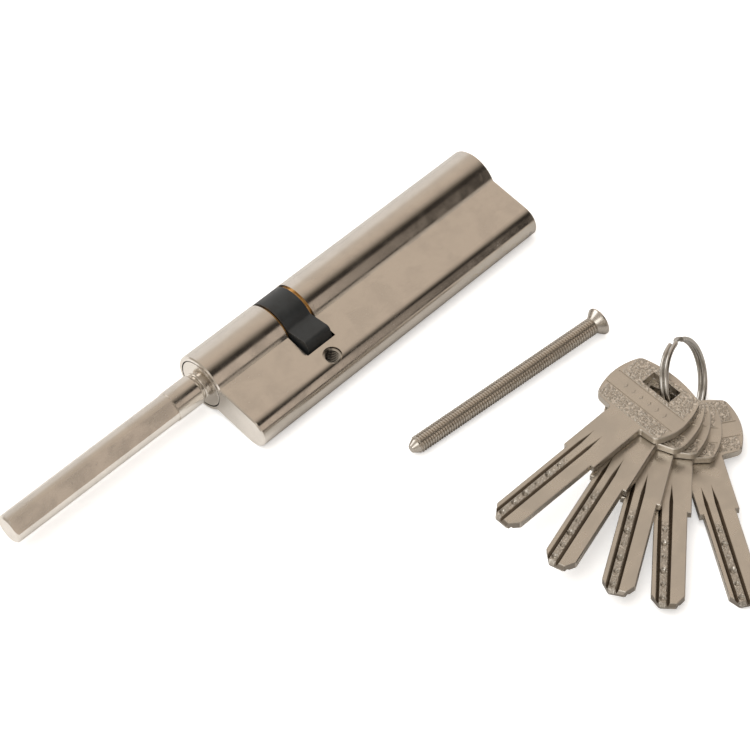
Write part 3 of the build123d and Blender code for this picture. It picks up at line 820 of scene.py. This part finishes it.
def key_frame(name, sizes):
    """A key's frame: shoulder at the origin, tip towards X; read from its hinge and its mesh."""
    joint = next(j for j in frame["joints"] if j["child"] == name)
    normal = Vector(joint["axis"]).normalized()
    spots = [v.co.copy() for v in frame["nodes"][name].data.vertices]
    middle = sum(spots, Vector()) / len(spots)
    side = normal.orthogonal().normalized()
    other = normal.cross(side)
    flat = [((s - middle).dot(side), (s - middle).dot(other)) for s in spots]
    xx = sum(a * a for a, b in flat)
    yy = sum(b * b for a, b in flat)
    xy = sum(a * b for a, b in flat)
    turn = atan2(2 * xy, xx - yy) / 2
    along = side * cos(turn) + other * sin(turn)
    across = normal.cross(along)
    width = [(abs((s - middle).dot(across)), (s - middle).dot(along)) for s in spots]
    if max(width)[1] > 0:
        along, across = -along, -across
    tip = max((s - middle).dot(along) for s in spots)
    ys = [(s - middle).dot(across) for s in spots]
    zs = [(s - middle).dot(normal) for s in spots]
    mid_y = (min(ys) + max(ys)) / 2
    mid_z = (min(zs) + max(zs)) / 2
    origin = middle + along * (tip - sizes.blade_len) + across * mid_y + normal * mid_z
    return Matrix.Translation(origin) @ Matrix((along, across, normal)).transposed().to_4x4()


def grain_patch(tool, sizes, draw, x_range, y_range, face, count):
    """Scatters low round grains over a patch of one face of the key."""
    level = face * sizes.thickness / 2
    for _ in range(count):
        r = sizes.grain_r * draw.uniform(0.7, 1.25)
        at = (draw.uniform(*x_range), draw.uniform(*y_range), level)
        made = bmesh.ops.create_icosphere(tool, subdivisions=1, radius=r)
        bmesh.ops.scale(tool, verts=made["verts"], vec=(1.0, 1.0, sizes.grain_h / r))
        bmesh.ops.rotate(tool, verts=made["verts"], cent=(0, 0, 0),
                         matrix=Matrix.Rotation(draw.uniform(0, tau), 3, "Z"))
        bmesh.ops.translate(tool, verts=made["verts"], vec=at)


def lozenge(tool, sizes, at_x, at_y, face):
    """A small raised four-sided stud."""
    made = bmesh.ops.create_cone(tool, cap_ends=True, segments=4, radius1=0.85 * MM,
                                 radius2=0.45 * MM, depth=2 * sizes.grain_h)
    if face < 0:
        bmesh.ops.rotate(tool, verts=made["verts"], cent=(0, 0, 0),
                         matrix=Matrix.Rotation(pi, 3, "X"))
    bmesh.ops.scale(tool, verts=made["verts"], vec=(1.25, 0.8, 1.0))
    bmesh.ops.translate(tool, verts=made["verts"], vec=(at_x, at_y, face * sizes.thickness / 2))


KEYS = tuple(f"key_{number}" for number in range(1, 6))
# the pattern on a head, in millimetres: across it from its middle, along it from its neck end
NEAR_MIDDLES = (-7.4, -3.7, 0.0, 3.7, 7.4)
NEAR_HALF_WIDTH = 0.95
NEAR_START, NEAR_END = 0.9, 4.0
NEAR_GRAINS = 22
STUD_MIDDLES = (-6.8, -4.1, -1.4, 1.4, 4.1, 6.8)
STUD_ROW = 6.9
SIDE_INNER, SIDE_OUTER = 6.0, 9.6
SIDE_START, SIDE_END = 10.4, 14.6
SIDE_GRAINS = 30
FIRST_SEED = 41


class LOCKSET_OT_key_heads(bpy.types.Operator):
    """Press the grained pattern into both faces of every key head"""
    bl_idname = "lockset.key_heads"
    bl_label = "Key Heads"

    def execute(self, context):
        sizes = context.scene.lock_keys
        start = -sizes.neck_len
        near = (start - NEAR_END * MM, start - NEAR_START * MM)
        far = (start - SIDE_END * MM, start - SIDE_START * MM)
        material = bpy.data.materials["key_satin_nickel"]
        for seed, name in enumerate(KEYS, FIRST_SEED):
            draw = random.Random(seed)
            tool = bmesh.new()
            for face in (1, -1):
                for y in NEAR_MIDDLES:
                    span = ((y - NEAR_HALF_WIDTH) * MM, (y + NEAR_HALF_WIDTH) * MM)
                    grain_patch(tool, sizes, draw, near, span, face, NEAR_GRAINS)
                for y in STUD_MIDDLES:
                    lozenge(tool, sizes, start - STUD_ROW * MM, y * MM, face)
                for side in (-1, 1):
                    span = sorted((side * SIDE_INNER * MM, side * SIDE_OUTER * MM))
                    grain_patch(tool, sizes, draw, far, span, face, SIDE_GRAINS)
            bmesh.ops.transform(tool, matrix=key_frame(name, sizes), verts=tool.verts)
            new_piece(f"{name}_grain", tool, material, name)
        return {"FINISHED"}


# ---------------------------------------------------------------- finishes

class LOCKSET_OT_finishes(bpy.types.Operator):
    """Give every part of the lock its metal"""
    bl_idname = "lockset.finishes"
    bl_label = "Finishes"

    def execute(self, context):
        finish = context.scene.lock_finishes
        materials = lock_materials(finish)
        for name in KEYS:
            materials[name] = key_metal(f"{name}_satin_nickel", tuple(finish.key_nickel),
                                        finish.key_rough, key_frame(name, context.scene.lock_keys))
        for name, node_object in frame["nodes"].items():
            for place in node_object.material_slots:
                wanted = place.material.name.split(".")[0]
                if name.startswith("chamber_plug"):
                    wanted = "plated_plug"
                if wanted == "nickel_key":
                    wanted = name
                if wanted not in materials:
                    raise RuntimeError(f"{name} has a slot {wanted} with no finish")
                place.material = materials[wanted]
        return {"FINISHED"}


# ---------------------------------------------------------------- stage

# direction, angles of its full and its faded edge in degrees, and colour of each soft light
SOFT_LIGHTS = (
    ((-0.75, -0.15, 0.62), 12, 16, (2.0, 1.95, 1.87)),
    ((-0.20, 0.78, 0.55), 14, 20, (1.9, 1.85, 1.8)),
    ((-0.35, -0.92, 0.25), 12, 16, (0.10, 0.09, 0.08)),
    ((0.05, -0.55, 0.83), 9, 14, (0.10, 0.09, 0.08)),
)


# how far towards +Y, and the room's colour there
ROOM_STOPS = (
    (-0.55, (0.022, 0.018, 0.015)), (-0.36, (0.035, 0.029, 0.024)), (-0.24, (0.17, 0.142, 0.115)),
    (-0.10, (0.40, 0.34, 0.285)), (0.06, (0.57, 0.48, 0.40)), (0.25, (0.64, 0.545, 0.455)),
    (0.55, (0.65, 0.57, 0.49)), (0.80, (0.84, 0.79, 0.745)), (1.0, (0.86, 0.83, 0.81)),
)


def studio_world(level):
    """A room with a tall soft light at each side, a darker gap between them and a pale horizon."""
    world = bpy.data.worlds.new("studio")
    bpy.context.scene.world = world
    world.use_nodes = True
    tree = world.node_tree
    tree.nodes.clear()
    place = add(tree, "ShaderNodeTexCoord")
    split = tree.nodes.new("ShaderNodeSeparateXYZ")
    join(tree, place.outputs["Generated"], split.inputs["Vector"])
    x, y, z = split.outputs
    ramp = tree.nodes.new("ShaderNodeValToRGB")
    ramp.color_ramp.interpolation = "EASE"
    band = ramp.color_ramp
    band.elements.remove(band.elements[1])
    for number, (spot, colour) in enumerate(ROOM_STOPS):
        element = band.elements[0] if number == 0 else band.elements.new(spot * 0.5 + 0.5)
        element.position = spot * 0.5 + 0.5
        element.color = colour + (1.0,)
    join(tree, calc(tree, "MULTIPLY_ADD", y, 0.5, 0.5), ramp.inputs["Fac"])
    colour = ramp.outputs["Color"]
    low_light = calc(tree, "MULTIPLY", step(tree, z, 0.74, 0.66), step(tree, z, 0.19, 0.27))
    low_light = calc(tree, "MULTIPLY", low_light, step(tree, x, 0.468, 0.435))
    low_light = calc(tree, "MULTIPLY", low_light, step(tree, y, -0.25, -0.35))
    colour = blend_colours(tree, low_light, colour, (0.66, 0.56, 0.475, 1.0))
    horizon = calc(tree, "MULTIPLY", step(tree, z, 0.14, 0.07), step(tree, y, -0.1, -0.4))
    colour = blend_colours(tree, horizon, colour, (0.62, 0.54, 0.46, 1.0))
    near_side = step(tree, x, 0.34, 0.15)
    colour = blend_colours(tree, near_side, colour, (0.50, 0.45, 0.39, 1.0))
    for toward, inner, outer, glow in SOFT_LIGHTS:
        facing = vector_calc(tree, "DOT_PRODUCT", place.outputs["Generated"],
                             Vector(toward).normalized())
        spot = step(tree, facing.outputs["Value"], cos(radians(outer)), cos(radians(inner)))
        colour = blend_colours(tree, spot, colour, glow + (1.0,))
    shine = tree.nodes.new("ShaderNodeBackground")
    shine.inputs["Strength"].default_value = level
    join(tree, colour, shine.inputs["Color"])
    plain = tree.nodes.new("ShaderNodeBackground")
    plain.inputs["Color"].default_value = (1.0, 1.0, 1.0, 1.0)
    path = tree.nodes.new("ShaderNodeLightPath")
    both = tree.nodes.new("ShaderNodeMixShader")
    join(tree, path.outputs["Is Camera Ray"], both.inputs["Fac"])
    join(tree, shine.outputs["Background"], both.inputs[1])
    join(tree, plain.outputs["Background"], both.inputs[2])
    output = tree.nodes.new("ShaderNodeOutputWorld")
    join(tree, both.outputs["Shader"], output.inputs["Surface"])


def pale_floor(side):
    tool = bmesh.new()
    bmesh.ops.create_grid(tool, x_segments=1, y_segments=1, size=side / 2)
    bmesh.ops.translate(tool, verts=tool.verts, vec=(0, 0, SHELF))
    floor = to_object("floor", tool)
    material, tree, shader = new_material("floor_paint")
    place = add(tree, "ShaderNodeTexCoord")
    noise = add(tree, "ShaderNodeTexNoise", scale=6.0, detail=3.0)
    join(tree, place.outputs["Object"], noise.inputs["Vector"])
    pale = blend_colours(tree, noise.outputs["Fac"], (0.93, 0.93, 0.93, 1.0),
                         (0.95, 0.95, 0.95, 1.0))
    # painted shade and light for reflections: rays other than the camera's see a grey floor, darker towards -Y and
    # lighter beyond x = -31 mm, while the camera sees it pale with a glow of its own
    split = tree.nodes.new("ShaderNodeSeparateXYZ")
    join(tree, place.outputs["Object"], split.inputs["Vector"])
    far = step(tree, split.outputs["Y"], -0.01, 0.03)
    grey = blend_colours(tree, far, (0.50, 0.485, 0.465, 1.0), (0.70, 0.695, 0.69, 1.0))
    near = step(tree, split.outputs["X"], -0.018, -0.031)
    grey = blend_colours(tree, near, grey, (0.86, 0.86, 0.86, 1.0))
    seen = tree.nodes.new("ShaderNodeLightPath").outputs["Is Camera Ray"]
    join(tree, blend_colours(tree, seen, grey, pale), shader.inputs["Base Color"])
    join(tree, calc(tree, "MULTIPLY", seen, 0.45), shader.inputs["Emission Strength"])
    shader.inputs["Emission Color"].default_value = (1.0, 1.0, 1.0, 1.0)
    shader.inputs["Roughness"].default_value = 0.9
    shader.inputs["Specular IOR Level"].default_value = 0.1
    floor.data.materials.append(material)


def studio_lamp(power):
    data = bpy.data.lights.new("overhead_lamp", "AREA")
    data.energy = power
    data.shape = "RECTANGLE"
    data.size = 1.2
    data.size_y = 1.0
    lamp = bpy.data.objects.new("overhead_lamp", data)
    lamp.location = (-0.25, 0.15, 0.95)
    lamp.rotation_euler = (-lamp.location).to_track_quat("-Z", "Y").to_euler()
    lamp.visible_glossy = False
    bpy.context.scene.collection.objects.link(lamp)


def studio_camera(stage):
    data = bpy.data.cameras.new("camera")
    data.lens = stage.lens
    data.sensor_width = 36.0
    data.dof.use_dof = False
    camera = bpy.data.objects.new("camera", data)
    at = Vector(stage.camera_at)
    look = (Vector(stage.camera_aim) - at).to_track_quat("-Z", "Y").to_matrix().to_4x4()
    camera.matrix_world = Matrix.Translation(at) @ look @ Matrix.Rotation(stage.camera_roll, 4, "Z")
    bpy.context.scene.collection.objects.link(camera)
    bpy.context.scene.camera = camera


class LOCKSET_OT_stage(bpy.types.Operator):
    """Set up the floor, the studio light and the camera"""
    bl_idname = "lockset.stage"
    bl_label = "Stage"

    def execute(self, context):
        stage = context.scene.lock_stage
        studio_world(stage.world_level)
        pale_floor(stage.floor_size)
        studio_lamp(stage.lamp_power)
        studio_camera(stage)
        context.scene.view_settings.view_transform = "Standard"
        return {"FINISHED"}


class LOCKSET_PT_panel(bpy.types.Panel):
    """Everything that finishes the lock set"""
    bl_label = "Lock Set"
    bl_space_type = "VIEW_3D"
    bl_region_type = "UI"
    bl_category = "Lock Set"

    def draw(self, context):
        for operator in OPERATORS:
            self.layout.operator(operator.bl_idname)
        for name in SETTINGS:
            box = self.layout.box()
            group_of_values = getattr(context.scene, name)
            for value in group_of_values.bl_rna.properties:
                if value.identifier not in ("rna_type", "name"):
                    box.prop(group_of_values, value.identifier)


SETTINGS = {"lock_finishes": LockFinishes, "lock_screw": ScrewSizes, "lock_ring": RingSizes,
            "lock_keys": KeySizes, "lock_stage": StageSettings}
OPERATORS = (LOCKSET_OT_finishes, LOCKSET_OT_fixing_screw, LOCKSET_OT_hole_thread,
             LOCKSET_OT_split_ring, LOCKSET_OT_key_heads, LOCKSET_OT_stage)


def register():
    for kind in tuple(SETTINGS.values()) + OPERATORS + (LOCKSET_PT_panel,):
        bpy.utils.register_class(kind)
    for name, kind in SETTINGS.items():
        setattr(bpy.types.Scene, name, bpy.props.PointerProperty(type=kind))


def unregister():
    for name in SETTINGS:
        delattr(bpy.types.Scene, name)
    for kind in (LOCKSET_PT_panel,) + OPERATORS[::-1] + tuple(SETTINGS.values()):
        bpy.utils.unregister_class(kind)


def main():
    register()
    bpy.ops.lockset.finishes()
    bpy.ops.lockset.fixing_screw()
    bpy.ops.lockset.hole_thread()
    bpy.ops.lockset.split_ring()
    bpy.ops.lockset.key_heads()
    bpy.ops.lockset.stage()


if __name__ == "__main__":
    main()
